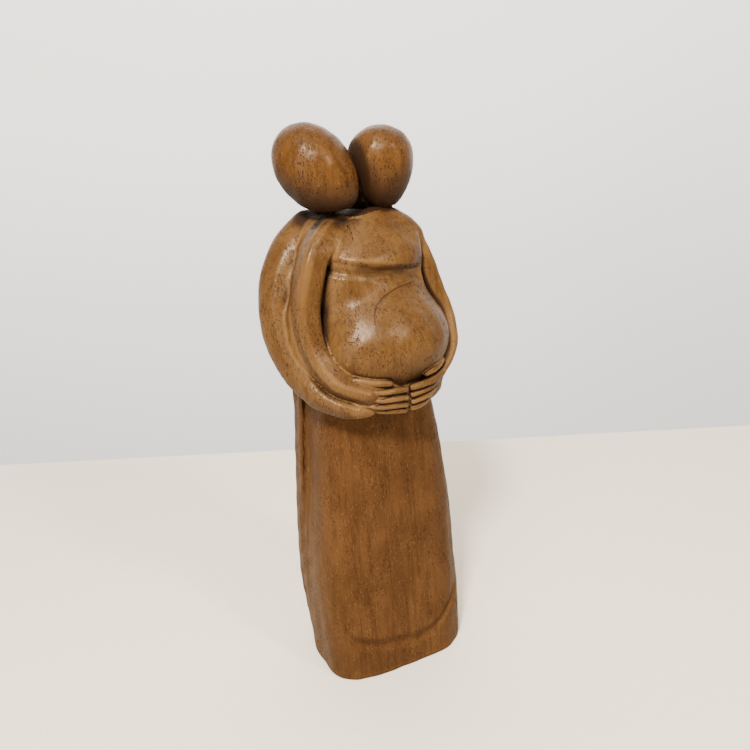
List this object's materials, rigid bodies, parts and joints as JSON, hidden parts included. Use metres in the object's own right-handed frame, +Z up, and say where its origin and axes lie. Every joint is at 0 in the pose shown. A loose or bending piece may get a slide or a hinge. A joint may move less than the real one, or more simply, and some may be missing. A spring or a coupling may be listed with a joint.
{
  "type": "carved wooden figure",
  "caption": "Faceless embracing couple carved from a block of brown hardwood, four arms meeting in front of a round belly, in long plain robes on a flat base.",
  "frame": {"origin": "middle of the underside, in the plane it stands on", "axes": "+Z up, the figures face -Y, and +X is on the right of someone looking at their front"},
  "size_m": [0.0848, 0.0685, 0.2486],
  "materials": {
    "polished_wood": "oiled hardwood, hand rubbed to a satin shine",
    "head_wood": "oiled hardwood, hand rubbed to a satin shine",
    "robe_wood": "oiled hardwood, satin, with vertical grain and open pores"
  },
  "bodies": {
    "root": {"rear_head": "head_wood", "front_head": "head_wood", "front_right_finger_1": "polished_wood", "front_right_finger_2": "polished_wood", "front_right_finger_3": "polished_wood", "front_right_finger_4": "polished_wood", "front_left_finger_1": "polished_wood", "front_left_finger_2": "polished_wood", "front_left_finger_3": "polished_wood", "front_left_finger_4": "polished_wood", "front_right_thumb": "polished_wood", "front_left_thumb": "polished_wood", "front_right_palm": "polished_wood", "front_left_palm": "polished_wood", "front_right_arm": "polished_wood", "front_left_arm": "polished_wood", "rear_right_arm": "polished_wood", "rear_left_arm": "polished_wood", "belly": "polished_wood", "rear_neck": "polished_wood", "front_neck": "polished_wood", "chest": "polished_wood", "trunk": "polished_wood", "hem_block": "robe_wood", "front_skirt": "robe_wood", "rear_robe": "robe_wood"}
  },
  "joints": []
}
